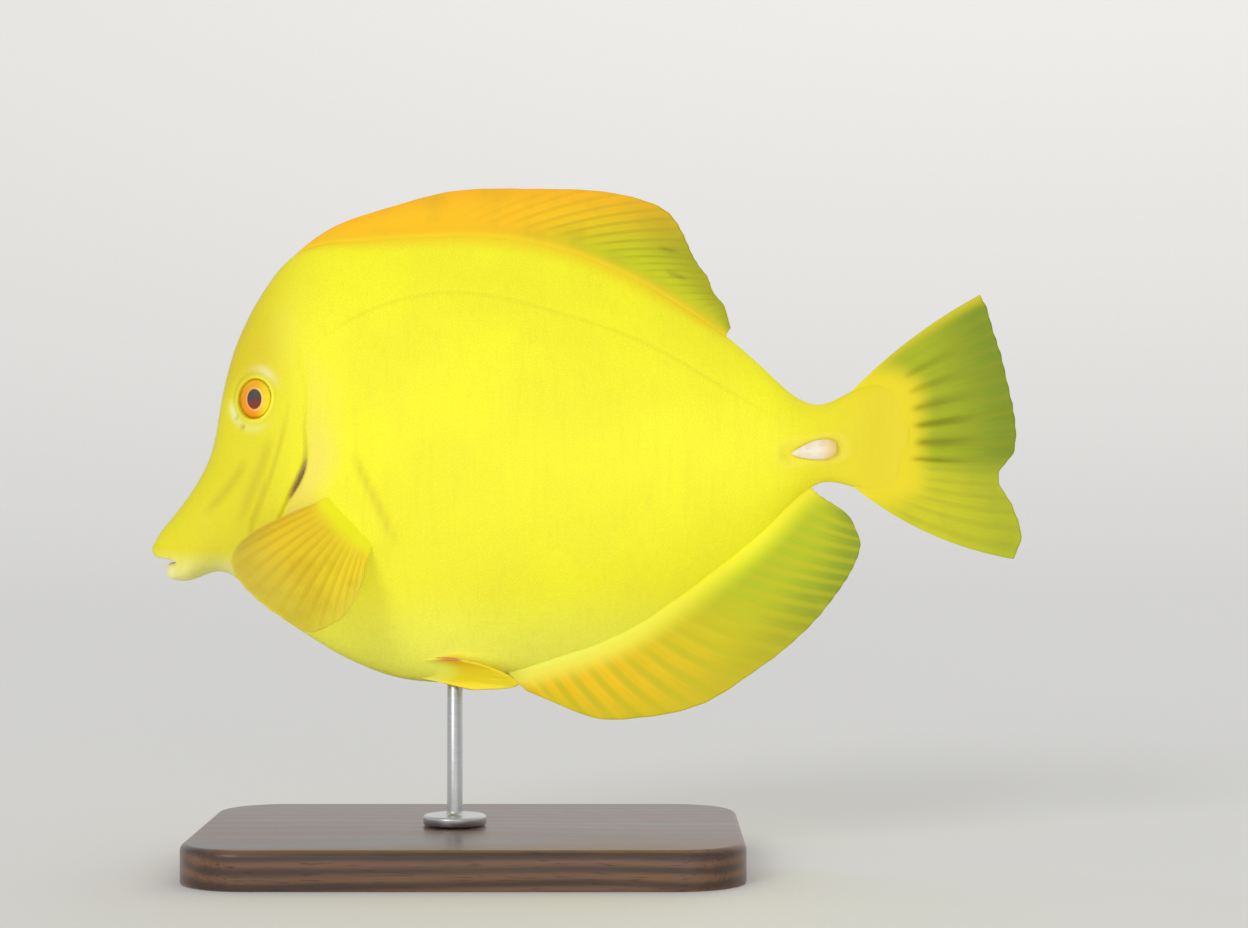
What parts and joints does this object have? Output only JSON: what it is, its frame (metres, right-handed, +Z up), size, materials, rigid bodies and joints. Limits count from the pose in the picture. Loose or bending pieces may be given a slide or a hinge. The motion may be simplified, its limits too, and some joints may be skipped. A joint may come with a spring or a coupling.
{
  "type": "yellow tang",
  "caption": "Life-size yellow tang swimming with half-open fins, a deep thin disc of a body with a drawn-out snout and white tail spines, held by a rod on a flat wooden base",
  "frame": {"origin": "centre of the underside of the whole object's box, on the floor below the middle of the fish's length", "axes": "+X along the body towards the tail, the head at -X; +Z up; the fish's left side faces -Y"},
  "size_m": [0.1799, 0.08, 0.1397],
  "materials": {
    "skin": "bright yellow skin with very fine scales under a thin wet sheen",
    "fin": "thin yellow fin skin between raised rays, orange at the front and olive at the rear edge",
    "eye": "clear glossy cornea over an orange and yellow iris with a dark pupil",
    "spine": "smooth white bony spine",
    "rod": "brushed steel rod with a turned flange",
    "base": "dark stained hardwood with a satin varnish"
  },
  "bodies": {
    "root": {"head": "skin", "lower_jaw": "skin", "gill_cover_left": "skin", "gill_cover_right": "skin", "torso": "skin", "tail": "skin", "dorsal_fin": "fin", "anal_fin": "fin", "caudal_fin": "fin", "pectoral_fin_left": "fin", "pectoral_fin_right": "fin", "pelvic_fin_left": "fin", "pelvic_fin_right": "fin", "eye_left": "eye", "eye_right": "eye", "tail_spine_left": "spine", "tail_spine_right": "spine", "stand_rod": "rod", "stand_base": "base"}
  },
  "joints": []
}
